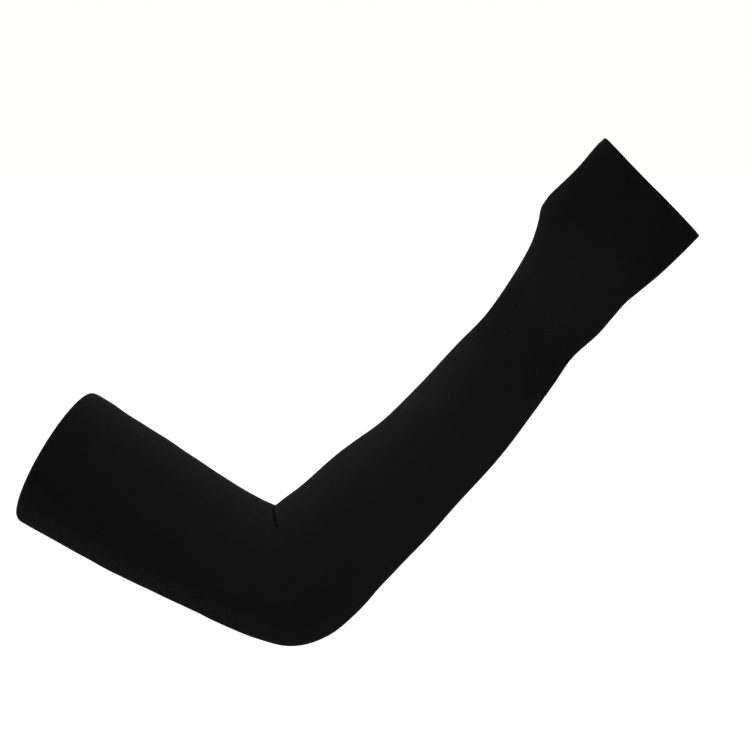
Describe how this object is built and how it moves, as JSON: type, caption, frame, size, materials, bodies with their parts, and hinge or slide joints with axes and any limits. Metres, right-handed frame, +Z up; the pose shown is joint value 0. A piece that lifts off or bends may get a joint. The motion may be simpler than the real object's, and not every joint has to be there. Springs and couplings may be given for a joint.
{
  "type": "arm sleeve with thumb hole",
  "caption": "Plain black knitted arm sleeve held as worn on a bent arm, with a turned upper cuff, an elbow fold, a ribbed wrist and a hand cover with a thumb hole.",
  "frame": {"origin": "centre of the mouth at the upper arm, where the sleeve grips the arm", "axes": "the bent arm lies in the XZ plane: +X from the upper-arm mouth towards the hand, +Y across the arm, +Z up"},
  "size_m": [0.4473, 0.0906, 0.3294],
  "materials": {
    "plain_knit": "matte fine black knit with a soft sheen",
    "cuff_knit": "matte black double knit",
    "rib_knit": "matte black rib knit"
  },
  "bodies": {
    "root": {"upper_cuff": "cuff_knit", "arm_tube": "plain_knit", "wrist_rib": "rib_knit", "hand_cover": "plain_knit"}
  },
  "joints": []
}
